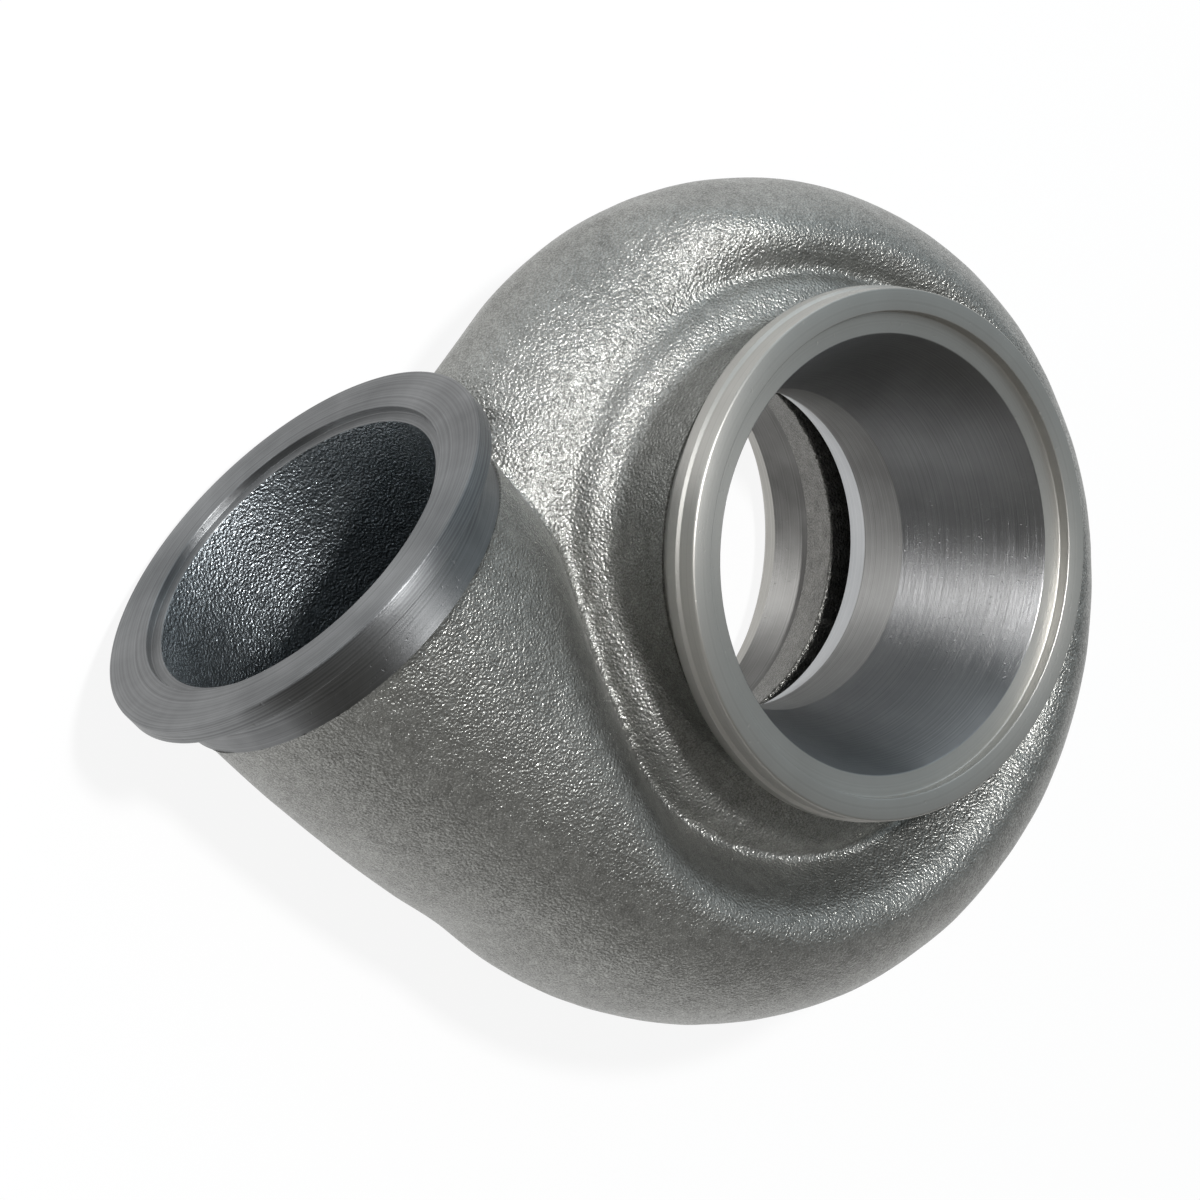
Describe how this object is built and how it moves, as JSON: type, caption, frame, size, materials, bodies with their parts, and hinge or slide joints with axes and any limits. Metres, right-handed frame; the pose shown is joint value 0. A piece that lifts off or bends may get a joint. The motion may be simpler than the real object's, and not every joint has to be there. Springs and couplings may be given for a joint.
{
  "type": "turbine housing",
  "caption": "Cast radial turbine housing: tapering scroll, tangential V-band gas inlet, V-band outlet with a turned discharge cone, V-band bearing side.",
  "frame": {"origin": "centre of the bearing-side face, on the turbine axis", "axes": "+Z along the turbine axis towards the outlet face; +X towards the side where the inlet duct lies; the inlet face looks towards -Y"},
  "size_m": [0.1701, 0.1534, 0.0845],
  "materials": {
    "cast_skin": "as-cast, blasted, grainy",
    "turned_face": "turned, fine circular tool lines"
  },
  "bodies": {
    "root": {"front_wall_first_quarter": "cast_skin", "front_wall_second_quarter": "cast_skin", "front_wall_third_quarter": "cast_skin", "front_wall_tail": "cast_skin", "back_wall_first_quarter": "cast_skin", "back_wall_second_quarter": "cast_skin", "back_wall_third_quarter": "cast_skin", "back_wall_tail": "cast_skin", "inlet_duct": "cast_skin", "neck_collar": "cast_skin", "outlet_neck": "cast_skin", "outlet_flange": "turned_face", "exducer_shroud": "turned_face", "bearing_barrel": "cast_skin", "bearing_flange": "turned_face", "inlet_flange": "turned_face"}
  },
  "joints": []
}
